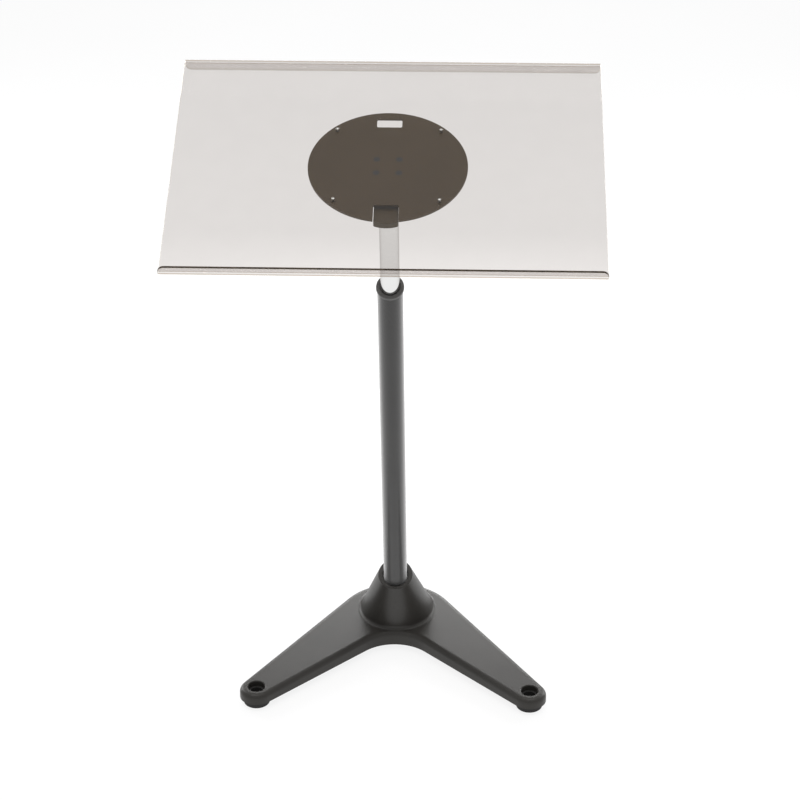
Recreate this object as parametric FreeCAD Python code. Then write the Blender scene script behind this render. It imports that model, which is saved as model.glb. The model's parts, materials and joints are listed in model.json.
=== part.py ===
import FreeCAD, Part
import math
import os

from FreeCAD import Vector

# Music stand: a clear tray on a telescoping column that leans over a V-shaped cast base.
# Millimetres. +Z is up and -Y is the front, where the reader stands.
# The origin is on the floor, at the centre of the rear glide, in the plane of symmetry.
#
# Everything above the base shares one leaning axis. Those parts are drawn upright, with Z as
# the distance along the column from the floor, and on_column() then leans them forward.

# --- Column ---------------------------------------------------------------------------------
LEAN_DEG = 18.3              # column's lean towards the reader
AXIS_FOOT_Y = -62.0          # where the column's axis meets the floor
COLUMN_R = 19.3
COLUMN_WALL = 2.0
COLUMN_BOTTOM = 34.0
COLUMN_TOP = 836.0           # on the axis: the top is cut on a slant
SLANT_DEG = 15.0             # the column's top and its socket slope down to the front
COLLAR_R = 21.0
COLLAR_T = 4.5
COLLAR_EDGE_R = 1.4
COLLAR_DISH = 1.6            # width and depth of the recess round the post
BUSH_LENGTH = 70.0
PLUG_TOP = 84.0
PLUG_THREAD = 22.0           # depth of the threaded hole for the base bolt

# --- Inner post and gas spring --------------------------------------------------------------
POST_R = 14.25
POST_WALL = 1.5
POST_BOTTOM = 262.0
POST_TOP = 1054.0
FIT = 0.05                   # radial clearance of a running fit
SPRING_R = 11.0
SPRING_WALL = 1.5
SPRING_BOTTOM = 296.0
SPRING_TOP = 640.0
GUIDE_BUSH_LENGTH = 40.0
POST_END_GAP = 4.0           # from the bottom end of the post up to the parts inside it
ROD_GUIDE_LENGTH = 24.0
RETAINER_CLEARANCE = 1.5     # round the rod where it passes the retainer
ROD_SEAL_LENGTH = 6.0
VALVE_LENGTH = 28.0
VALVE_PIN_END = 6.0          # how far the pin stands into the spring's gas space
VALVE_PIN_HEAD = 10.0        # how far the pin stands out of the top of the spring
CENTRING_RING_LENGTH = 12.0
CENTRING_RING_DROP = 4.0     # from the top of the spring down to the ring
ROD_R = 5.0
ROD_COLLAR_R = 9.0
ROD_COLLAR_T = 3.0
ROD_SEAT = 72.0
ROD_SEAT_R = 12.0
ROD_BOTTOM = 75.0
ROD_RING_GAP = 0.3           # end play of the rod's collar under its retaining ring
ROD_RING_T = 1.7
WASHER_CLEARANCE = 0.2
PISTON_BOTTOM = 389.0
PISTON_LENGTH = 18.0
PISTON_SPIGOT_R = 3.0
PISTON_SEAL_R = 7.5          # bottom of the seal's groove
PISTON_SEAL_T = 4.0
PUSH_ROD_R = 3.0
PUSH_ROD_TOP = 1061.6
PUSH_GUIDE_LENGTH = 10.0
PUSH_GUIDE_DROP = 14.0       # from the top of the post down to the push rod's guide
VALVE_PIN_R = 2.0

# --- Tray -----------------------------------------------------------------------------------
TRAY_WIDTH = 610.0
TRAY_DEPTH = 454.0
SHEET = 4.0                  # thickness of the acrylic
SHEET_TOP = 1083.0
FRONT_LIP = 17.0             # ledge that holds the pages, outside height
BACK_LIP = 20.0              # stiffening lip along the far edge, outside height
BEND_R = 3.0                 # inside radius of both folds
LIP_CORNER_R = 9.0

# --- Mounting plate under the tray ----------------------------------------------------------
PLATE_R = 113.0
PLATE_T = 3.0
TRAY_SCREW_X = 74.0
TRAY_SCREW_Y = 73.0
TRAY_SCREW_R = 1.5
TRAY_SCREW_HEAD_R = 2.4
TRAY_SCREW_HEAD_H = 1.7
TRAY_SCREW_CROWN_R = 1.36
TRAY_NUT_HALF = 2.75         # from the centre of the nut to each flat
TRAY_NUT_T = 2.6
SCREW_CLEARANCE = 0.2
SLOT_X = 36.0
SLOT_Y = 18.0
SLOT_CENTRE_Y = 91.0
NOTCH_X = 35.8
NOTCH_BACK_Y = -80.0
SLOT_CORNER_R = 2.0
NOTCH_CORNER_R = 3.0
HEAD_BOLT_X = 16.0
HEAD_BOLT_Y = 14.0
HEAD_BOLT_R = 2.5
HEAD_BOLT_LENGTH = 18.0
COUNTERSINK = 2.5
GRUB_SCREW_R = 3.0
GRUB_SCREW_RISES = (10.0, 24.0)   # heights above the bottom of the head
HEAD_R = 27.0
HEAD_BOTTOM = 1020.0
HEAD_EDGE_R = 3.0
LUG_X = 28.0                 # width of the pair of lugs that hold the lever's pin
FLANGE_R = 42.0
FLANGE_BOTTOM = 1069.0

# --- Release paddle -------------------------------------------------------------------------
PADDLE_PIVOT_Y = -32.0
PADDLE_PIVOT_Z = 1064.0
PADDLE_X = 35.0
PADDLE_FRONT_Y = -109.0
PADDLE_BACK_Y = -66.0        # reaches under the plate behind the notch
PADDLE_TOP = 1071.0
PADDLE_T = 9.5
PADDLE_BOW = 4.0             # how far the front edge bulges forward
PADDLE_CORNER_R = 3.0
PADDLE_EDGE_R = 1.2
ARM_X = 12.0
ARM_T = 4.0
ARM_FRONT_Y = -97.0
ARM_BACK_Y = 6.0
KNUCKLE_R = 4.4
PIVOT_PIN_R = 2.5
PIVOT_PIN_LENGTH = 30.0

# --- Base casting ---------------------------------------------------------------------------
HUB_R = 102.0
FOOT_X = 224.0
FOOT_Y = -263.0
TIP_R = 27.5
CROTCH_R = 70.0              # concave arc between the legs
CROTCH_CENTRE_Y = -179.0
UNDERSIDE = 12.0
TOP_AT_HUB = 38.0            # height of the top face at the column's axis
TOP_AT_FOOT = 30.5
TOP_EDGE_R = 9.0
BASE_WALL = 8.0
HOLE_R = 14.0
HOLE_CHAMFER = 1.2           # on the top edge of the two holes in the tips
STALK_HALF_X = 64.0          # half axes of the stalk's oval foot
STALK_HALF_Y = 68.0
STALK_FOOT_Y = -29.0
STALK_FOOT_Z = 34.0
STALK_BLEND_R = 6.0
SOCKET_R = 28.4
SOCKET_EDGE_R = 1.2          # rounding of the outer rim of the mouth
SOCKET_TOP = 165.0           # on the axis
SOCKET_GAP = 2.3             # open groove round the column at the mouth of the socket
SOCKET_GROOVE = 8.0
MOUTH_TAPER = 0.94           # width of the stalk where its loft ends, above the mouth
GLIDE_BOSS = 6.0             # wall round each glide's hole
BASE_BOLT_R = 5.0
BASE_BOLT_HEAD_R = 8.0
BASE_BOLT_HEAD_H = 10.0
BASE_BOLT_KEY = 4.0          # half width of the hexagon socket
BASE_BOLT_KEY_DEPTH = 5.0
BASE_BOLT_SEAT = 22.0
BASE_WASHER_R = 12.0
BASE_WASHER_T = 2.0
BOLT_CLEARANCE = 0.5

# --- Glides ---------------------------------------------------------------------------------
GLIDE_R = 21.5
GLIDE_SPIGOT_H = 9.0
GLIDE_EDGE_R = 2.5
GLIDE_WALL = 4.0
GLIDE_POSITIONS = {
    "left_glide": (-FOOT_X, FOOT_Y),
    "right_glide": (FOOT_X, FOOT_Y),
    "rear_glide": (0.0, 0.0),
}

X, Y, Z = Vector(1, 0, 0), Vector(0, 1, 0), Vector(0, 0, 1)
SLANT = math.tan(math.radians(SLANT_DEG))
PLATE_TOP = SHEET_TOP - SHEET
PLATE_BOTTOM = PLATE_TOP - PLATE_T
COLUMN_BORE_R = COLUMN_R - COLUMN_WALL
POST_BORE_R = POST_R - POST_WALL
SPRING_BORE_R = SPRING_R - SPRING_WALL
OVER = 1.0                   # how far a cutting shape runs past the face it opens
FAR = 60.0                   # long enough to run right out of the part


# --- Small helpers --------------------------------------------------------------------------
def disc(radius, low, high, x=0.0, y=0.0):
    """Upright cylinder between two heights."""
    return Part.makeCylinder(radius, high - low, Vector(x, y, low))


def tube(outer, inner, low, high):
    """Upright tube on the Z axis between two heights, open right through."""
    return disc(outer, low, high).cut(disc(inner, low - OVER, high + OVER))


def block(x0, x1, y0, y1, z0, z1):
    return Part.makeBox(x1 - x0, y1 - y0, z1 - z0, Vector(x0, y0, z0))


def slab_across(width, y0, y1, z0, z1):
    """Block centred on the plane of symmetry."""
    return block(-width / 2, width / 2, y0, y1, z0, z1)


def hexagon(half_width, low, high, x=0.0, y=0.0):
    """Upright hexagonal prism, `half_width` from its centre to each flat."""
    radius = half_width / math.cos(math.pi / 6)
    points = [on_circle(Vector(x, y, low), radius, math.pi / 3 * i) for i in range(7)]
    return Part.Face(Part.makePolygon(points)).extrude(Z * (high - low))


def half_space_above(height, slope, reach=400.0):
    """Everything above a plane that rises towards +Y from `height` on the Z axis."""
    corners = [
        Vector(0, -reach, height - slope * reach),
        Vector(0, reach, height + slope * reach),
        Vector(0, reach, height + 3 * reach),
        Vector(0, -reach, height + 3 * reach),
    ]
    side = Part.Face(Part.makePolygon(corners + corners[:1]))
    solid = side.extrude(X * 2 * reach)
    solid.translate(X * -reach)
    return solid


def edges_where(shape, test):
    return [edge for edge in shape.Edges if test(edge)]


def upright(edge):
    box = edge.BoundBox
    return box.XLength < 1e-6 and box.YLength < 1e-6


def at_corners(x, y):
    return [(sx * x, sy * y) for sx in (-1, 1) for sy in (-1, 1)]


def on_circle(centre, radius, angle):
    return centre + Vector(math.cos(angle), math.sin(angle), 0) * radius


def mirrored(point):
    return Vector(-point.x, point.y, point.z)


def outline_face(*edges):
    return Part.Face(Part.Wire([edge.toShape() for edge in edges]))


def on_column(shape):
    """Lean an upright part forward with the column."""
    leaned = shape.copy()
    leaned.rotate(Vector(0, 0, 0), X, LEAN_DEG)
    leaned.translate(Y * AXIS_FOOT_Y)
    return leaned


# --- Base -----------------------------------------------------------------------------------
def tangent_angle(start, start_r, end, end_r):
    """Direction of the normal at which one line touches two circles on its left-hand side."""
    along = math.atan2(end.y - start.y, end.x - start.x)
    return along + math.acos((start_r - end_r) / start.distanceToPoint(end))


def base_outline(inset, z):
    """Plan of the base: hub, two tapering legs and the concave crotch between them."""
    hub = Vector(0, AXIS_FOOT_Y, z)
    foot = Vector(FOOT_X, FOOT_Y, z)
    crotch = Vector(0, CROTCH_CENTRE_Y, z)
    hub_r, tip_r, crotch_r = HUB_R - inset, TIP_R - inset, CROTCH_R + inset
    back = tangent_angle(hub, hub_r, foot, tip_r)
    front = tangent_angle(crotch, crotch_r, foot, -tip_r)
    hub_end = on_circle(hub, hub_r, back)
    hub_rear = on_circle(hub, hub_r, math.pi / 2)
    tip_start = on_circle(foot, tip_r, back)
    tip_middle = on_circle(foot, tip_r, (back + front - math.pi) / 2)
    tip_end = on_circle(foot, tip_r, front - math.pi)
    crotch_end = on_circle(crotch, crotch_r, front)
    crotch_middle = on_circle(crotch, crotch_r, math.pi / 2)
    return outline_face(
        Part.Arc(mirrored(hub_end), hub_rear, hub_end),
        Part.LineSegment(hub_end, tip_start),
        Part.Arc(tip_start, tip_middle, tip_end),
        Part.LineSegment(tip_end, crotch_end),
        Part.Arc(crotch_end, crotch_middle, mirrored(crotch_end)),
        Part.LineSegment(mirrored(crotch_end), mirrored(tip_end)),
        Part.Arc(mirrored(tip_end), mirrored(tip_middle), mirrored(tip_start)),
        Part.LineSegment(mirrored(tip_start), mirrored(hub_end)),
    )


def base_slab(inset, low, lowered):
    """The base's outline from `low` up to its sloping top face, or `lowered` below it."""
    slope = (TOP_AT_HUB - TOP_AT_FOOT) / (AXIS_FOOT_Y - FOOT_Y)
    top_at_origin = TOP_AT_HUB - slope * AXIS_FOOT_Y - lowered
    slab = base_outline(inset, low).extrude(Z * FAR)
    return slab.cut(half_space_above(top_at_origin, slope))


def socket_stalk():
    """Stalk that widens from the slanted mouth of the socket down to an oval on the hub."""
    centre = Vector(0, STALK_FOOT_Y, STALK_FOOT_Z)
    oval = Part.Ellipse(centre + Y * STALK_HALF_Y, centre + X * STALK_HALF_X, centre)
    foot = Part.Wire(oval.toShape())
    rise = SOCKET_R * SLANT
    mouth = Part.Circle(Z * (SOCKET_TOP + rise), Z, SOCKET_R * MOUTH_TAPER)
    mouth.rotate(FreeCAD.Placement(Vector(0, 0, 0), Z, 90))
    mouth = Part.Wire(on_column(mouth.toShape()).Edges)
    stalk = Part.makeLoft([foot, mouth], True, True)
    return stalk.cut(on_column(half_space_above(SOCKET_TOP, SLANT)))


def base_pocket():
    """Hollow underside, which leaves bosses at the socket and at each glide."""
    pocket = base_slab(BASE_WALL, UNDERSIDE - OVER, BASE_WALL)
    bosses = [disc(HOLE_R + GLIDE_BOSS, 0, FAR, x, y) for x, y in GLIDE_POSITIONS.values()]
    bosses.append(on_column(disc(COLUMN_R + BASE_WALL, -FAR, 2 * FAR)))
    return pocket.cut(bosses)


def base_casting():
    slab = base_slab(0.0, UNDERSIDE, 0.0)
    rim = edges_where(slab, lambda edge: edge.BoundBox.ZMin > UNDERSIDE + OVER and not upright(edge))
    body = slab.makeFillet(TOP_EDGE_R, rim).fuse(socket_stalk())
    body = body.makeFillet(STALK_BLEND_R, edges_where(body, on_stalk_seam))
    body = body.makeFillet(SOCKET_EDGE_R, edges_where(body, on_mouth_rim))
    body = body.cut(base_pocket())
    groove = disc(COLUMN_R + SOCKET_GAP, SOCKET_TOP - FAR, SOCKET_TOP + FAR)
    groove = groove.common(half_space_above(SOCKET_TOP - SOCKET_GROOVE, SLANT))
    bores = [
        on_column(disc(COLUMN_R, COLUMN_BOTTOM, SOCKET_TOP + FAR)),
        on_column(groove),
        on_column(disc(BASE_BOLT_R + BOLT_CLEARANCE, -FAR, COLUMN_BOTTOM + OVER)),
        on_column(disc(BASE_WASHER_R + BOLT_CLEARANCE, -FAR, BASE_BOLT_SEAT)),
    ]
    for name, (x, y) in GLIDE_POSITIONS.items():
        depth = GLIDE_SPIGOT_H if name == "rear_glide" else FAR
        bores.append(disc(HOLE_R, UNDERSIDE - OVER, UNDERSIDE + depth, x, y))
    body = body.cut(bores)
    return body.makeChamfer(HOLE_CHAMFER, edges_where(body, on_hole_rim))


def on_stalk_seam(edge):
    """True for the edges where the stalk runs into the top face of the hub."""
    box = edge.BoundBox
    if box.ZMin < TOP_AT_FOOT or box.ZMax > TOP_AT_HUB + STALK_BLEND_R:
        return False
    middle = edge.valueAt((edge.FirstParameter + edge.LastParameter) / 2)
    offset = math.hypot(middle.x / STALK_HALF_X, (middle.y - STALK_FOOT_Y) / STALK_HALF_Y)
    return 0.85 < offset < 1.02


def on_mouth_rim(edge):
    """True for the outer rim of the slanted mouth of the socket."""
    return edge.BoundBox.ZMin > SOCKET_TOP / 2 and edge.BoundBox.XLength > SOCKET_R


def on_hole_rim(edge):
    """True for the top edges of the two holes in the tips of the legs."""
    box = edge.BoundBox
    if box.ZMin < TOP_AT_FOOT - OVER - BASE_WALL / 2:
        return False
    return any(abs(box.Center.x - x) < OVER and abs(box.Center.y - y) < OVER
               for x, y in GLIDE_POSITIONS.values())


def glide(x, y):
    """Round foot with a hollow spigot that presses into the casting."""
    pad = disc(GLIDE_R, 0, UNDERSIDE, x, y)
    pad = pad.makeFillet(GLIDE_EDGE_R, edges_where(pad, lambda edge: edge.BoundBox.ZMax < OVER))
    top = UNDERSIDE + GLIDE_SPIGOT_H
    spigot = disc(HOLE_R, UNDERSIDE, top, x, y)
    recess = disc(HOLE_R - GLIDE_WALL, UNDERSIDE + GLIDE_WALL / 2, top + OVER, x, y)
    return pad.fuse(spigot).removeSplitter().cut(recess)


def base_bolt():
    """Socket-head bolt that draws the column down into its socket."""
    seat = BASE_BOLT_SEAT - BASE_WASHER_T
    bottom = seat - BASE_BOLT_HEAD_H
    head = disc(BASE_BOLT_HEAD_R, bottom, seat)
    shank = disc(BASE_BOLT_R, seat, COLUMN_BOTTOM + PLUG_THREAD)
    key = hexagon(BASE_BOLT_KEY, bottom - OVER, bottom + BASE_BOLT_KEY_DEPTH)
    return head.fuse(shank).removeSplitter().cut(key)


# --- Column ---------------------------------------------------------------------------------
def column_tube():
    pipe = tube(COLUMN_R, COLUMN_BORE_R, COLUMN_BOTTOM, COLUMN_TOP + FAR)
    return pipe.cut(half_space_above(COLUMN_TOP, SLANT))


def column_plug():
    """Plug in the foot of the column: threaded below, a seat for the gas spring's rod above."""
    plug = disc(COLUMN_BORE_R, COLUMN_BOTTOM, PLUG_TOP)
    return plug.cut([
        disc(BASE_BOLT_R, COLUMN_BOTTOM - OVER, COLUMN_BOTTOM + PLUG_THREAD),
        disc(ROD_SEAT_R, ROD_SEAT, PLUG_TOP + OVER),
    ])


def slanted_layer(radius, low, high):
    """Part of a cylinder between two slanted planes at the top of the column."""
    layer = disc(radius, COLUMN_TOP - FAR, COLUMN_TOP + FAR)
    layer = layer.common(half_space_above(COLUMN_TOP + low, SLANT))
    return layer.cut(half_space_above(COLUMN_TOP + high, SLANT))


def column_bush():
    """Guide bush in the mouth of the column, with a slanted collar that covers the tube's end."""
    bore = POST_R + FIT
    sleeve = tube(COLUMN_BORE_R, bore, COLUMN_TOP - BUSH_LENGTH, COLUMN_TOP + FAR)
    sleeve = sleeve.cut(half_space_above(COLUMN_TOP, SLANT))
    ring = slanted_layer(COLLAR_R, 0, COLLAR_T)
    ring = ring.makeFillet(COLLAR_EDGE_R, ring.Edges)
    ring = ring.cut(disc(bore, COLUMN_TOP - FAR, COLUMN_TOP + FAR))
    dish = slanted_layer(bore + COLLAR_DISH, COLLAR_T - COLLAR_DISH, FAR)
    return sleeve.fuse(ring.cut(dish)).removeSplitter()


# --- Gas spring -----------------------------------------------------------------------------
def piston_rod():
    """Rod with a collar that turns on the thrust washer, and a spigot for the piston."""
    collar = disc(ROD_COLLAR_R, ROD_BOTTOM, ROD_BOTTOM + ROD_COLLAR_T)
    rod = disc(ROD_R, ROD_BOTTOM + ROD_COLLAR_T, PISTON_BOTTOM)
    spigot = disc(PISTON_SPIGOT_R, PISTON_BOTTOM, PISTON_BOTTOM + PISTON_LENGTH)
    return collar.fuse([rod, spigot]).removeSplitter()


def piston():
    top = PISTON_BOTTOM + PISTON_LENGTH
    return tube(SPRING_BORE_R - FIT, PISTON_SPIGOT_R, PISTON_BOTTOM, top).cut(piston_seal())


def piston_seal():
    low = PISTON_BOTTOM + (PISTON_LENGTH - PISTON_SEAL_T) / 2
    return tube(SPRING_BORE_R - FIT / 2, PISTON_SEAL_R, low, low + PISTON_SEAL_T)


# --- Head -----------------------------------------------------------------------------------
def head_casting():
    """Socket that joins the post to the mounting plate and carries the release lever."""
    body = disc(HEAD_R, HEAD_BOTTOM, FLANGE_BOTTOM)
    lower_rim = edges_where(body, lambda edge: edge.BoundBox.ZMax < HEAD_BOTTOM + OVER)
    body = body.makeFillet(HEAD_EDGE_R, lower_rim)
    flange = disc(FLANGE_R, FLANGE_BOTTOM, PLATE_BOTTOM)
    lug_front = PADDLE_PIVOT_Y - KNUCKLE_R - OVER
    lugs = slab_across(LUG_X, lug_front, -POST_R, PADDLE_PIVOT_Z - KNUCKLE_R * 1.6, FLANGE_BOTTOM)
    head = body.fuse([flange, lugs]).removeSplitter()
    lever_slot = slab_across(ARM_X + 4 * OVER, -FAR, ARM_BACK_Y + 3 * OVER, POST_TOP + 3 * OVER,
                             FLANGE_BOTTOM)
    rod_hole = disc(PUSH_ROD_R + BOLT_CLEARANCE, POST_TOP - OVER, POST_TOP + 4 * OVER)
    post_socket = disc(POST_R, HEAD_BOTTOM - OVER, POST_TOP)
    return head.cut([post_socket, rod_hole, lever_slot, lever_pin()] + head_bolts() + grub_screws())


def lever_pin():
    start = Vector(-PIVOT_PIN_LENGTH / 2, PADDLE_PIVOT_Y, PADDLE_PIVOT_Z)
    return Part.makeCylinder(PIVOT_PIN_R, PIVOT_PIN_LENGTH, start, X)


def head_bolts():
    """Countersunk screws, flush with the plate so that the tray lies flat on it."""
    bolts = []
    neck = PLATE_TOP - COUNTERSINK
    for x, y in at_corners(HEAD_BOLT_X, HEAD_BOLT_Y):
        head = Part.makeCone(HEAD_BOLT_R, HEAD_BOLT_R + COUNTERSINK, COUNTERSINK, Vector(x, y, neck))
        shank = disc(HEAD_BOLT_R, PLATE_TOP - HEAD_BOLT_LENGTH, neck, x, y)
        bolts.append(head.fuse(shank).removeSplitter())
    return bolts


def grub_screws():
    """Two set screws from the back that lock the post in the head."""
    length = HEAD_R - POST_R - OVER
    return [Part.makeCylinder(GRUB_SCREW_R, length, Vector(0, POST_R, HEAD_BOTTOM + rise), Y)
            for rise in GRUB_SCREW_RISES]


def release_lever():
    low = PADDLE_PIVOT_Z - ARM_T / 2
    arm = slab_across(ARM_X, ARM_FRONT_Y, ARM_BACK_Y, low, low + ARM_T)
    start = Vector(-ARM_X / 2, PADDLE_PIVOT_Y, PADDLE_PIVOT_Z)
    knuckle = Part.makeCylinder(KNUCKLE_R, ARM_X, start, X)
    hole = Part.makeCylinder(PIVOT_PIN_R + FIT, ARM_X + 2 * OVER, start - X * OVER, X)
    return arm.fuse(knuckle).cut(hole)


def paddle():
    """Finger pad on the front end of the release lever."""
    low, half = PADDLE_TOP - PADDLE_T, PADDLE_X / 2
    shoulder = PADDLE_FRONT_Y + PADDLE_BOW
    back_left = Vector(-half, PADDLE_BACK_Y, low)
    back_right = Vector(half, PADDLE_BACK_Y, low)
    left, right = Vector(-half, shoulder, low), Vector(half, shoulder, low)
    outline = outline_face(
        Part.LineSegment(back_left, back_right),
        Part.LineSegment(back_right, right),
        Part.Arc(right, Vector(0, PADDLE_FRONT_Y, low), left),
        Part.LineSegment(left, back_left),
    )
    pad = outline.extrude(Z * PADDLE_T)
    pad = pad.makeFillet(PADDLE_CORNER_R, edges_where(pad, upright))
    rim = edges_where(pad, lambda edge: edge.BoundBox.ZMin > PADDLE_TOP - OVER)
    return pad.makeFillet(PADDLE_EDGE_R, rim).cut(release_lever())


# --- Tray -----------------------------------------------------------------------------------
def mounting_plate():
    """Round plate with a hand slot at the back and a notch for the paddle at the front."""
    plate = disc(PLATE_R, PLATE_BOTTOM, PLATE_TOP)
    low, high = PLATE_BOTTOM - OVER, PLATE_TOP + OVER
    slot = slab_across(SLOT_X, SLOT_CENTRE_Y - SLOT_Y / 2, SLOT_CENTRE_Y + SLOT_Y / 2, low, high)
    slot = slot.makeFillet(SLOT_CORNER_R, edges_where(slot, upright))
    notch = slab_across(NOTCH_X, -PLATE_R - NOTCH_X, NOTCH_BACK_Y, low, high)
    notch = notch.makeFillet(NOTCH_CORNER_R, edges_where(notch, upright))
    return plate.cut([slot, notch] + head_bolts() + screw_holes())


def screw_holes():
    radius = TRAY_SCREW_R + SCREW_CLEARANCE
    return [disc(radius, PLATE_BOTTOM - OVER, SHEET_TOP + OVER, x, y)
            for x, y in at_corners(TRAY_SCREW_X, TRAY_SCREW_Y)]


def tray_screws():
    """Small domed screws through the tray and the plate."""
    screws = []
    top = SHEET_TOP + TRAY_SCREW_HEAD_H
    for x, y in at_corners(TRAY_SCREW_X, TRAY_SCREW_Y):
        head = disc(TRAY_SCREW_HEAD_R, SHEET_TOP, top, x, y)
        crown = edges_where(head, lambda edge: edge.BoundBox.ZMin > SHEET_TOP + OVER)
        head = head.makeFillet(TRAY_SCREW_CROWN_R, crown)
        shank = disc(TRAY_SCREW_R, PLATE_BOTTOM - TRAY_NUT_T - OVER, SHEET_TOP, x, y)
        screws.append(head.fuse(shank).removeSplitter())
    return screws


def tray_nuts():
    nuts = []
    low = PLATE_BOTTOM - TRAY_NUT_T
    for x, y in at_corners(TRAY_SCREW_X, TRAY_SCREW_Y):
        bore = disc(TRAY_SCREW_R, low - OVER, PLATE_BOTTOM + OVER, x, y)
        nuts.append(hexagon(TRAY_NUT_HALF, low, PLATE_BOTTOM, x, y).cut(bore))
    return nuts


def on_left_edge(y, z):
    return Vector(-TRAY_WIDTH / 2, y, z)


def bend(y_centre, z_centre, radius, y_sign, z_sign):
    """Three points on the quarter arc of a fold, from its upright side to its flat side."""
    s = math.sin(math.pi / 4) * radius
    return (on_left_edge(y_centre + y_sign * radius, z_centre),
            on_left_edge(y_centre + y_sign * s, z_centre + z_sign * s),
            on_left_edge(y_centre, z_centre + z_sign * radius))


def tray_section():
    """Side view of the sheet: up in a ledge at the front, down in a lip at the back."""
    front, back = -TRAY_DEPTH / 2, TRAY_DEPTH / 2
    bottom, top = SHEET_TOP - SHEET, SHEET_TOP
    outer = BEND_R + SHEET
    ledge_out = on_left_edge(front, bottom + FRONT_LIP)
    ledge_in = on_left_edge(front + SHEET, bottom + FRONT_LIP)
    lip_out = on_left_edge(back, top - BACK_LIP)
    lip_in = on_left_edge(back - SHEET, top - BACK_LIP)
    low_out = bend(front + outer, bottom + outer, outer, -1, -1)
    low_in = bend(front + outer, bottom + outer, BEND_R, -1, -1)
    high_out = bend(back - outer, top - outer, outer, 1, 1)
    high_in = bend(back - outer, top - outer, BEND_R, 1, 1)
    return outline_face(
        Part.LineSegment(ledge_out, low_out[0]),
        Part.Arc(*low_out),
        Part.LineSegment(low_out[2], high_in[2]),
        Part.Arc(*high_in[::-1]),
        Part.LineSegment(high_in[0], lip_in),
        Part.LineSegment(lip_in, lip_out),
        Part.LineSegment(lip_out, high_out[0]),
        Part.Arc(*high_out),
        Part.LineSegment(high_out[2], low_in[2]),
        Part.Arc(*low_in[::-1]),
        Part.LineSegment(low_in[0], ledge_in),
        Part.LineSegment(ledge_in, ledge_out),
    )


def tray_sheet():
    sheet = tray_section().extrude(X * TRAY_WIDTH)
    sheet = sheet.makeFillet(LIP_CORNER_R, edges_where(sheet, at_lip_corner))
    return sheet.cut(screw_holes())


def at_lip_corner(edge):
    """True for the four short edges at the free corners of the two lips."""
    box = edge.BoundBox
    short = abs(box.YLength - SHEET) < 0.01 and box.ZLength < 0.01 and box.XLength < 0.01
    return short and (box.ZMin > SHEET_TOP + OVER or box.ZMax < SHEET_TOP - SHEET - OVER)


# --- Assembly -------------------------------------------------------------------------------
def column_parts():
    ring_bottom = ROD_BOTTOM + ROD_COLLAR_T + ROD_RING_GAP
    return {
        "column_tube": column_tube(),
        "column_plug": column_plug(),
        "column_bush": column_bush(),
        "base_bolt": base_bolt(),
        "base_washer": tube(BASE_WASHER_R, BASE_BOLT_R + BOLT_CLEARANCE,
                            BASE_BOLT_SEAT - BASE_WASHER_T, BASE_BOLT_SEAT),
        "thrust_washer": tube(ROD_SEAT_R - WASHER_CLEARANCE, PISTON_SPIGOT_R, ROD_SEAT, ROD_BOTTOM),
        "rod_retaining_ring": tube(ROD_SEAT_R, ROD_R + OVER, ring_bottom, ring_bottom + ROD_RING_T),
    }


def spring_parts():
    guide_top = SPRING_BOTTOM + ROD_GUIDE_LENGTH
    push_rod_bottom = SPRING_TOP + VALVE_PIN_HEAD
    valve_bottom = SPRING_TOP - VALVE_LENGTH
    ring_top = SPRING_TOP - CENTRING_RING_DROP
    return {
        "piston_rod": piston_rod(),
        "piston": piston(),
        "piston_seal": piston_seal(),
        "spring_retainer": tube(POST_BORE_R, ROD_R + RETAINER_CLEARANCE,
                                POST_BOTTOM + POST_END_GAP, SPRING_BOTTOM),
        "spring_cylinder": tube(SPRING_R, SPRING_BORE_R, SPRING_BOTTOM, SPRING_TOP),
        "spring_centring_ring": tube(POST_BORE_R, SPRING_R, ring_top - CENTRING_RING_LENGTH, ring_top),
        "rod_guide": tube(SPRING_BORE_R, ROD_R + FIT, SPRING_BOTTOM, guide_top),
        "rod_seal": tube(SPRING_BORE_R, ROD_R + FIT, guide_top, guide_top + ROD_SEAL_LENGTH),
        "valve_body": tube(SPRING_BORE_R, VALVE_PIN_R + FIT, valve_bottom, SPRING_TOP),
        "valve_pin": disc(VALVE_PIN_R, valve_bottom - VALVE_PIN_END, push_rod_bottom),
        "push_rod": disc(PUSH_ROD_R, push_rod_bottom, PUSH_ROD_TOP),
    }


def head_and_tray_parts():
    bush_bottom = POST_BOTTOM + POST_END_GAP
    guide_top = POST_TOP - PUSH_GUIDE_DROP
    return {
        "inner_post": tube(POST_R, POST_BORE_R, POST_BOTTOM, POST_TOP),
        "post_guide_bush": tube(COLUMN_BORE_R - FIT, POST_R, bush_bottom,
                                bush_bottom + GUIDE_BUSH_LENGTH),
        "push_rod_guide": tube(POST_BORE_R, PUSH_ROD_R + FIT, guide_top - PUSH_GUIDE_LENGTH,
                               guide_top),
        "head_casting": head_casting(),
        "grub_screws": Part.makeCompound(grub_screws()),
        "head_bolts": Part.makeCompound(head_bolts()),
        "lever_pin": lever_pin(),
        "release_lever": release_lever(),
        "paddle": paddle(),
        "mounting_plate": mounting_plate(),
        "tray_sheet": tray_sheet(),
        "tray_screws": Part.makeCompound(tray_screws()),
        "tray_nuts": Part.makeCompound(tray_nuts()),
    }


def main():
    os.makedirs("parts", exist_ok=True)
    parts = {"base_casting": base_casting()}
    for name, place in GLIDE_POSITIONS.items():
        parts[name] = glide(*place)
    leaning = {**column_parts(), **spring_parts(), **head_and_tray_parts()}
    for name, shape in leaning.items():
        parts[name] = on_column(shape)
    for name, shape in parts.items():
        print(f"{name:22} valid {shape.isValid()} solids {len(shape.Solids)} "
              f"{shape.Volume / 1000:8.1f} cm3")
        shape.exportStep(f"parts/{name}.step")


main()
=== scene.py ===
import json
import math

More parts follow.
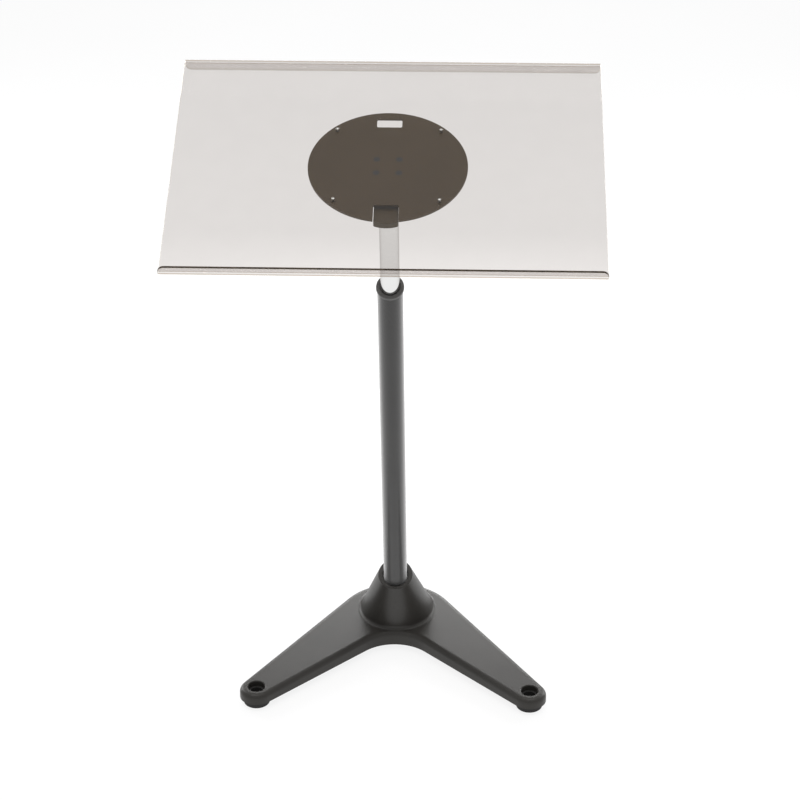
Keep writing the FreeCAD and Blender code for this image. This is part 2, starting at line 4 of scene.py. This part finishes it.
import bmesh
import bpy
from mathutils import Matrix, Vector


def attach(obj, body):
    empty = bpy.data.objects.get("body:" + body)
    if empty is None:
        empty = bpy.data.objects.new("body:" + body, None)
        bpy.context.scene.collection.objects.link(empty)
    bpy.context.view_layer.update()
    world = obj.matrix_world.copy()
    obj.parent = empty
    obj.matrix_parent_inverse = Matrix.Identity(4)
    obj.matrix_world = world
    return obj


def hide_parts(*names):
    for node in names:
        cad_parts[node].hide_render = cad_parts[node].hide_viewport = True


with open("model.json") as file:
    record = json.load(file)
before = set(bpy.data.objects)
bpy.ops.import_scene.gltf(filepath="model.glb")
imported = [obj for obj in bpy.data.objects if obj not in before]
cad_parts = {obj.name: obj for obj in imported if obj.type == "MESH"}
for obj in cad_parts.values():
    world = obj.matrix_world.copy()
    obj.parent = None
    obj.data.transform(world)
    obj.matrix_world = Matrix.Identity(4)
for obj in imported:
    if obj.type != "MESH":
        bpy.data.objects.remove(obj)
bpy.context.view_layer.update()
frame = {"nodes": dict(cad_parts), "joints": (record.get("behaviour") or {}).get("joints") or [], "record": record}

# Music stand. Metres, in the frame of the CAD model: +Z up, -Y the front.

# --- Tray, as in the CAD model -----------------------------------------------------------------
TRAY_WIDTH = 0.610
TRAY_DEPTH = 0.454
SHEET = 0.004
SHEET_TOP = 1.083            # along the column's axis
FRONT_LIP = 0.017
BACK_LIP = 0.020
BEND_R = 0.003
LIP_CORNER_R = 0.009
GAP = 0.00025                # left between the tray's underside and the plate
POLISHED_EDGE = 0.0005       # width of the small bevel round the cut edges
FOLD_STEPS = 12
CORNER_STEPS = 10            # round each corner of the ledge and the lip
CRISP_ANGLE = 28.0           # degrees between faces from which an edge is shaded crisp
CLOSE = 1e-9                 # lengths this near count as equal
FLAT, EDGE, FOLD, LEDGE_EDGE_PAINTED_SHADE = range(4)     # material slots of the tray

# --- Column, the tray's axis of turning --------------------------------------------------------
SWIVEL = next(j for j in frame["joints"] if j["name"] == "tray_swivel")
AXIS_FOOT = Vector(SWIVEL["pos_m"])
AXIS = Vector(SWIVEL["axis"]).normalized()

# --- View and light ----------------------------------------------------------------------------
CAMERA_PLACE = (0.11695, -3.7733, 2.5179)
CAMERA_TURN = (61.0, 0.077, 1.661)    # degrees
CAMERA_LENS = 117.36         # mm
CAMERA_SENSOR = 36.0         # mm
CAMERA_REACH = 100.0
FLOOR_HALF = 14.0
FLOOR_GLOW = 0.85
FLOOR_TONES = (0.148, 0.148, 0.149), (0.152, 0.152, 0.153)
WORLD_COLOUR = (0.97, 0.97, 0.975, 1)
WORLD_STRENGTH = 0.62
SOFTBOXES = (                # name, place, point it faces, width and height, watts
    ("top_softbox", (0.0, -0.7, 3.6), (0, -0.3, 0.3), (3.0, 1.6), 60),
    ("left_softbox", (-1.9, 1.5, 1.1), (0, -0.2, 0.5), (1.0, 2.0), 30),
    ("right_softbox", (1.9, 1.5, 1.1), (0, -0.2, 0.5), (1.0, 2.0), 28),
    ("low_softbox", (0.0, 1.3, 0.6), (0, -0.06, 0.04), (1.1, 0.45), 14),
)

# --- Looks shared by several materials ---------------------------------------------------------
NOISE_LOW = 0.35             # the part of a noise's range
NOISE_HIGH = 0.65            # that most of its values fall in
HEAD_ON_SHARE = 0.04         # light that a clear sheet reflects when it is faced squarely
GRAZING_POWER = 5.0          # how late the reflection grows towards a grazing view
HAZE = 1.006                 # how much clearer the acrylic is at its clearest
UNSTRETCHED = (1.0, 1.0, 1.0)
ALONG_Z = (1.0, 1.0, 0.04)   # stretches a texture into lines along Z
WHITE = (1.0, 1.0, 1.0)


# --- Small helpers -----------------------------------------------------------------------------
def on_column(x, y, z):
    """Point given in the leaning frame of the column: x across, y towards the back, z along it."""
    back = AXIS.cross(Vector((1, 0, 0)))
    return AXIS_FOOT + Vector((x, 0, 0)) + back * y + AXIS * z


def new_object(name, data):
    obj = bpy.data.objects.new(name, data)
    bpy.context.scene.collection.objects.link(obj)
    return obj


# --- Node material helpers ---------------------------------------------------------------------
class Nodes:
    """Builds one node material, with short names for the nodes used here."""

    def __init__(self, name):
        self.material = bpy.data.materials.new(name)
        self.material.use_nodes = True
        self.tree = self.material.node_tree
        self.tree.nodes.clear()
        self.out = self.tree.nodes.new("ShaderNodeOutputMaterial")

    def add(self, kind, **settings):
        node = self.tree.nodes.new("ShaderNode" + kind)
        for key, value in settings.items():
            setattr(node, key, value)
        return node

    def link(self, a, b):
        self.tree.links.new(a, b)

    def coordinates(self, scale=UNSTRETCHED):
        """Object coordinates in metres, stretched by `scale`."""
        place = self.add("TexCoord")
        mapping = self.add("Mapping")
        mapping.inputs["Scale"].default_value = scale
        self.link(place.outputs["Object"], mapping.inputs["Vector"])
        return mapping.outputs["Vector"]

    def noise(self, vector, scale, detail, roughness):
        node = self.add("TexNoise")
        node.inputs["Scale"].default_value = scale
        node.inputs["Detail"].default_value = detail
        node.inputs["Roughness"].default_value = roughness
        self.link(vector, node.inputs["Vector"])
        return node.outputs["Fac"]

    def ramp(self, value, low, high):
        node = self.add("MapRange")
        node.inputs["From Min"].default_value = NOISE_LOW
        node.inputs["From Max"].default_value = NOISE_HIGH
        node.inputs["To Min"].default_value = low
        node.inputs["To Max"].default_value = high
        self.link(value, node.inputs["Value"])
        return node.outputs["Result"]

    def tones(self, value, dark, light, socket):
        """Colours `socket` between two tones, following a noise."""
        node = self.add("Mix", data_type="RGBA")
        node.inputs["A"].default_value = (*dark, 1)
        node.inputs["B"].default_value = (*light, 1)
        self.link(self.ramp(value, 0.0, 1.0), node.inputs["Factor"])
        self.link(node.outputs["Result"], socket)

    def texture(self, value, shader, smoothest, roughest, strength, distance):
        """Lets a fine noise vary the roughness of a surface and raise it slightly."""
        self.link(self.ramp(value, smoothest, roughest), shader.inputs["Roughness"])
        bump = self.add("Bump")
        bump.inputs["Strength"].default_value = strength
        bump.inputs["Distance"].default_value = distance
        self.link(value, bump.inputs["Height"])
        self.link(bump.outputs["Normal"], shader.inputs["Normal"])

    def reflected_share(self, grazing):
        """Share of light that a polished surface reflects, the same from either side of it."""
        facing = self.add("LayerWeight")
        facing.inputs["Blend"].default_value = 0.5
        power = self.add("Math", operation="POWER")
        self.link(facing.outputs["Facing"], power.inputs[0])
        power.inputs[1].default_value = GRAZING_POWER
        share = self.add("Math", operation="MULTIPLY_ADD")
        self.link(power.outputs["Value"], share.inputs[0])
        share.inputs[1].default_value = grazing - HEAD_ON_SHARE
        share.inputs[2].default_value = HEAD_ON_SHARE
        return share.outputs["Value"]

    def principled(self, **values):
        node = self.add("BsdfPrincipled")
        for key, value in values.items():
            node.inputs[key.replace("_", " ")].default_value = value
        return node

    def finish(self, shader):
        self.link(shader.outputs[0], self.out.inputs["Surface"])
        return self.material


def powder_coat(name, dark, light, roughness, grain=1400.0, depth=0.00006, sheen=0.0,
                gloss=0.5):
    """Sprayed and baked coating: fine pimpled texture with slow changes of tone and gloss."""
    n = Nodes(name)
    place = n.coordinates()
    broad = n.noise(place, scale=9.0, detail=4.0, roughness=0.55)
    fine = n.noise(place, scale=grain, detail=2.0, roughness=0.6)
    shader = n.principled(Specular_IOR_Level=gloss, Sheen_Weight=sheen, Sheen_Roughness=0.4)
    n.tones(broad, dark, light, shader.inputs["Base Color"])
    n.texture(fine, shader, roughness - 0.05, roughness + 0.07, strength=0.35, distance=depth)
    return n.finish(shader)


def moulded_plastic(name, dark, light, roughness):
    n = Nodes(name)
    place = n.coordinates()
    fine = n.noise(place, scale=2600.0, detail=2.0, roughness=0.5)
    broad = n.noise(place, scale=40.0, detail=3.0, roughness=0.5)
    shader = n.principled(Specular_IOR_Level=0.45)
    n.tones(broad, dark, light, shader.inputs["Base Color"])
    n.texture(fine, shader, roughness - 0.06, roughness + 0.06, strength=0.2, distance=0.00004)
    return n.finish(shader)


def rubber(name):
    n = Nodes(name)
    speckle = n.noise(n.coordinates(), scale=900.0, detail=4.0, roughness=0.6)
    shader = n.principled(Specular_IOR_Level=0.3)
    n.tones(speckle, (0.018, 0.018, 0.018), (0.034, 0.033, 0.032), shader.inputs["Base Color"])
    n.texture(speckle, shader, 0.62, 0.8, strength=0.3, distance=0.00008)
    return n.finish(shader)


def polished_metal(name, dark, light, roughness, stretch=ALONG_Z, edge=WHITE):
    """Plated or ground metal, with faint drawing lines; `edge` tints what it mirrors at its rim."""
    n = Nodes(name)
    lines = n.noise(n.coordinates(stretch), scale=700.0, detail=3.0, roughness=0.6)
    broad = n.noise(n.coordinates(), scale=12.0, detail=2.0, roughness=0.5)
    shader = n.principled(Metallic=1.0, Specular_Tint=(*edge, 1))
    n.tones(broad, dark, light, shader.inputs["Base Color"])
    n.texture(lines, shader, roughness * 0.7, roughness * 1.4, strength=0.05, distance=0.00001)
    return n.finish(shader)


def clear_acrylic(name, tint, film=(0.95, 0.95, 0.95), roughness=0.02, grazing=1.0):
    """Clear sheet: what is behind it shows through, tinted, under a thin polished reflection."""
    n = Nodes(name)
    haze = n.noise(n.coordinates(), scale=30.0, detail=3.0, roughness=0.5)
    through = n.add("BsdfTransparent")
    palest = tuple(min(1.0, c * HAZE) for c in tint)
    n.tones(haze, tint, palest, through.inputs["Color"])
    gloss = n.principled(Roughness=roughness, Metallic=1.0, Base_Color=(*film, 1))
    mix = n.add("MixShader")
    n.link(n.reflected_share(grazing), mix.inputs["Fac"])
    n.link(through.outputs[0], mix.inputs[1])
    n.link(gloss.outputs[0], mix.inputs[2])
    return n.finish(mix)


# --- Materials ---------------------------------------------------------------------------------
LOOKS = {                    # name: kind of material, dark tone, light tone, roughness
    "base_coat": (powder_coat, (0.026, 0.0242, 0.0215), (0.033, 0.0308, 0.0276), 0.40),
    "column_coat": (powder_coat, (0.018, 0.0174, 0.0167), (0.023, 0.0222, 0.0213), 0.27),
    "head_coat": (powder_coat, (0.022, 0.0215, 0.021), (0.03, 0.0295, 0.029), 0.42),
    "lever_coat": (powder_coat, (0.02, 0.02, 0.02), (0.03, 0.03, 0.03), 0.38),
    "plate_coat": (powder_coat, (0.056, 0.032, 0.004), (0.064, 0.038, 0.008), 0.42),
    "cylinder_coat": (powder_coat, (0.015, 0.015, 0.015), (0.02, 0.02, 0.02), 0.3),
    "post_chrome": (polished_metal, (0.80, 0.80, 0.795), (0.83, 0.83, 0.825), 0.05),
    "rod_steel": (polished_metal, (0.62, 0.62, 0.61), (0.7, 0.7, 0.69), 0.12),
    "zinc_steel": (polished_metal, (0.5, 0.51, 0.53), (0.62, 0.62, 0.6), 0.3),
    "screw_steel": (polished_metal, (0.4, 0.39, 0.37), (0.5, 0.49, 0.46), 0.28),
    "black_screws": (powder_coat, (0.015, 0.015, 0.015), (0.025, 0.025, 0.024), 0.35),
    "glide_rubber": (rubber,),
    "seal_rubber": (rubber,),
    "black_plastic": (moulded_plastic, (0.022, 0.0215, 0.021), (0.03, 0.029, 0.028), 0.42),
    "bearing_plastic": (moulded_plastic, (0.6, 0.59, 0.55), (0.68, 0.67, 0.63), 0.45),
    # Painted reflection: the collar's plastic is painted a lighter grey than the black plastic, standing in for
    # the light its top face reflects.
    "collar_plastic_painted_reflection": (moulded_plastic, (0.10, 0.099, 0.097), (0.13, 0.129, 0.126), 0.36),
    "paddle_plastic": (moulded_plastic, (0.049, 0.029, 0.005), (0.057, 0.035, 0.008), 0.42),
}
FINER_POINTS = {             # where a look differs from others of its kind
    "base_coat": {"grain": 1100.0, "depth": 0.00003, "sheen": 0.02, "gloss": 0.32},
    "column_coat": {"grain": 1600.0, "depth": 0.00001, "sheen": 1.0, "gloss": 0.42},
    "post_chrome": {"edge": (0.6, 0.59, 0.58)},
    "screw_steel": {"stretch": UNSTRETCHED},
}
OWN_LOOKS = {                # pieces that differ from the rest of their material slot
    # its lighter grey is a painted reflection of its top face
    "column_bush": "collar_plastic_painted_reflection",
    "paddle": "paddle_plastic",
}


def dress_nodes():
    """Gives each node its own look, or else its slot's; the tray's sheet is replaced below."""
    materials = {name: kind(name, *values, **FINER_POINTS.get(name, {}))
                 for name, (kind, *values) in LOOKS.items()}
    for entry in frame["record"]["subparts"]:
        look = OWN_LOOKS.get(entry["node"], entry["material_slot"])
        if look in materials:
            for slot in frame["nodes"][entry["node"]].material_slots:
                slot.material = materials[look]


dress_nodes()
TRAY_MATERIALS = (           # in the order of FLAT, EDGE, FOLD, LEDGE_EDGE_PAINTED_SHADE
    clear_acrylic("tray_acrylic", (0.855, 0.839, 0.828)),
    clear_acrylic("tray_acrylic_edge", (0.80, 0.78, 0.75), roughness=0.15, grazing=0.3),
    clear_acrylic("tray_acrylic_fold", (0.75, 0.71, 0.67), grazing=0.15),
    # Ledge's cut edge: the acrylic's own tint seen along its length, darkened to nearly black as painted shade
    # standing in for the shade that internal reflection gives a real cut edge.
    clear_acrylic("tray_acrylic_ledge_tint_and_painted_shade", (0.10, 0.08, 0.06), film=(0.5, 0.47, 0.43),
                  roughness=0.2, grazing=0.3),
)


# --- Tray --------------------------------------------------------------------------------------
def fold_rows(centre, radius, start, turn):
    """Points and normals round one fold; the normal leans by the tangent's angle."""
    rows = []
    side = 1 if turn > 0 else -1
    for i in range(FOLD_STEPS + 1):
        angle = start + turn * i / FOLD_STEPS
        normal = Vector((-math.sin(angle), math.cos(angle)))
        rows.append((centre - normal * radius * side, normal))
    return rows


def tray_profile():
    """Rows (developed length, point, normal) of the middle of the sheet, from ledge to back lip."""
    low, high = SHEET_TOP - SHEET, SHEET_TOP
    middle, outer = BEND_R + SHEET / 2, BEND_R + SHEET
    half = TRAY_DEPTH / 2
    rows = [(Vector((-half + SHEET / 2, low + FRONT_LIP)), Vector((1, 0)))]
    rows += fold_rows(Vector((-half + outer, low + outer)), middle, -math.pi / 2, math.pi / 2)
    rows += fold_rows(Vector((half - outer, high - outer)), middle, 0.0, -math.pi / 2)
    rows += [(Vector((half - SHEET / 2, high - BACK_LIP)), Vector((1, 0)))]
    out, length = [], 0.0
    for i, (point, normal) in enumerate(rows):
        if i:
            length += (point - rows[i - 1][0]).length
        out.append((length, point, normal))
    return out


def on_profile(profile, length):
    """Point and normal at a developed length."""
    for (l0, p0, n0), (l1, p1, n1) in zip(profile, profile[1:]):
        if length <= l1 + CLOSE:
            t = (length - l0) / (l1 - l0)
            return p0.lerp(p1, t), n0.lerp(n1, t).normalized()
    return profile[-1][1:]


def sheet_rows(profile):
    """Rows across the sheet, from ledge to lip: the outline and the inner edge of its bevel.

    Both are given as (developed length, half width).
    """
    total = profile[-1][0]
    half_width = TRAY_WIDTH / 2
    centre_x = half_width - LIP_CORNER_R

    def corner_row(angle):
        return [(LIP_CORNER_R - radius * math.cos(angle), centre_x + radius * math.sin(angle))
                for radius in (LIP_CORNER_R, LIP_CORNER_R - POLISHED_EDGE)]

    front = [corner_row(math.pi / 2 * i / CORNER_STEPS) for i in range(CORNER_STEPS + 1)]
    straight = [[(length, half_width), (length, half_width - POLISHED_EDGE)]
                for length, _, _ in profile if LIP_CORNER_R < length < total - LIP_CORNER_R]
    back = [[(total - length, width) for length, width in row] for row in reversed(front)]
    return front + straight + back


def add_face_sheets(bm, rings, outline, profile):
    """Closes the top and the underside, with the folds in their own material."""
    folds = ((profile[1][0], profile[1 + FOLD_STEPS][0]),
             (profile[2 + FOLD_STEPS][0], profile[-2][0]))
    for (left, right), flip in ((rings[0], False), (rings[-1], True)):
        for i in range(len(left) - 1):
            quad = [left[i], right[i], right[i + 1], left[i + 1]]
            face = bm.faces.new(quad[::-1] if flip else quad)
            middle = (outline[i][0] + outline[i + 1][0]) / 2
            folded = any(start < middle < end for start, end in folds)
            face.material_index = FOLD if folded else FLAT


def add_cut_edges(bm, rings):
    """Joins each ring of vertices to the next: bevel, cut edge, bevel."""
    for (left_a, right_a), (left_b, right_b) in zip(rings, rings[1:]):
        loop_a = left_a + right_a[::-1]
        loop_b = left_b + right_b[::-1]
        for i in range(len(loop_a)):
            j = (i + 1) % len(loop_a)
            face = bm.faces.new([loop_a[i], loop_a[j], loop_b[j], loop_b[i]])
            on_ledge = i < CORNER_STEPS or i >= len(loop_a) - 1 - CORNER_STEPS
            # The ledge's cut edge takes the nearly black tint, which is painted shade.
            face.material_index = LEDGE_EDGE_PAINTED_SHADE if on_ledge else EDGE


def make_tray():
    """Sheet folded up at the front and down at the back, with polished cut edges."""
    profile = tray_profile()
    outline, inset = zip(*sheet_rows(profile))
    bm = bmesh.new()

    def vertex(length, x, offset):
        point, normal = on_profile(profile, length)
        at = point + normal * offset
        return bm.verts.new(on_column(x, at.x, at.y))

    def ring(places, offset):
        """Vertices of the left side and of the right side, both from ledge to lip."""
        left = [vertex(length, -x, offset) for length, x in places]
        right = [vertex(length, x, offset) for length, x in places]
        return left, right

    top, bottom = SHEET / 2, GAP - SHEET / 2
    rings = [ring(inset, top), ring(outline, top - POLISHED_EDGE),
             ring(outline, bottom + POLISHED_EDGE), ring(inset, bottom)]
    add_face_sheets(bm, rings, outline, profile)
    add_cut_edges(bm, rings)
    for face in bm.faces:
        face.smooth = True
    bmesh.ops.recalc_face_normals(bm, faces=bm.faces[:])
    mesh = bpy.data.meshes.new("clear_tray")
    bm.to_mesh(mesh)
    bm.free()
    for material in TRAY_MATERIALS:
        mesh.materials.append(material)
    mesh.set_sharp_from_angle(angle=math.radians(CRISP_ANGLE))
    return new_object("clear_tray", mesh)


tray = make_tray()
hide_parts("tray_sheet")
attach(tray, "post")


# --- Floor, light and camera -------------------------------------------------------------------
def make_floor():
    """Pale floor that gives off most of its light itself, like a light table."""
    n = Nodes("studio_floor")
    shader = n.principled(Roughness=0.9, Specular_IOR_Level=0.1, Emission_Strength=FLOOR_GLOW,
                          Emission_Color=(*WHITE, 1))
    mottle = n.noise(n.coordinates(), scale=3.0, detail=3.0, roughness=0.5)
    n.tones(mottle, *FLOOR_TONES, shader.inputs["Base Color"])
    material = n.finish(shader)
    mesh = bpy.data.meshes.new("floor")
    h = FLOOR_HALF
    mesh.from_pydata([(-h, -h, 0), (h, -h, 0), (h, h, 0), (-h, h, 0)], [], [(0, 1, 2, 3)])
    mesh.materials.append(material)
    floor = new_object("floor", mesh)


def add_softbox(name, place, target, size, power):
    data = bpy.data.lights.new(name, "AREA")
    data.shape = "RECTANGLE"
    data.size, data.size_y = size
    data.energy = power
    obj = new_object(name, data)
    obj.location = place
    obj.rotation_euler = (Vector(target) - Vector(place)).to_track_quat("-Z", "Y").to_euler()
    obj.visible_camera = False


def make_studio():
    world = bpy.data.worlds.new("studio")
    world.use_nodes = True
    background = world.node_tree.nodes["Background"]
    background.inputs["Color"].default_value = WORLD_COLOUR
    background.inputs["Strength"].default_value = WORLD_STRENGTH
    bpy.context.scene.world = world
    bpy.context.scene.view_settings.view_transform = "Standard"
    for softbox in SOFTBOXES:
        add_softbox(*softbox)


def make_camera():
    data = bpy.data.cameras.new("camera")
    data.lens = CAMERA_LENS
    data.sensor_width = CAMERA_SENSOR
    data.clip_end = CAMERA_REACH
    obj = new_object("camera", data)
    obj.location = CAMERA_PLACE
    obj.rotation_euler = [math.radians(a) for a in CAMERA_TURN]
    bpy.context.scene.camera = obj


make_floor()
make_studio()
make_camera()

bpy.context.view_layer.update()
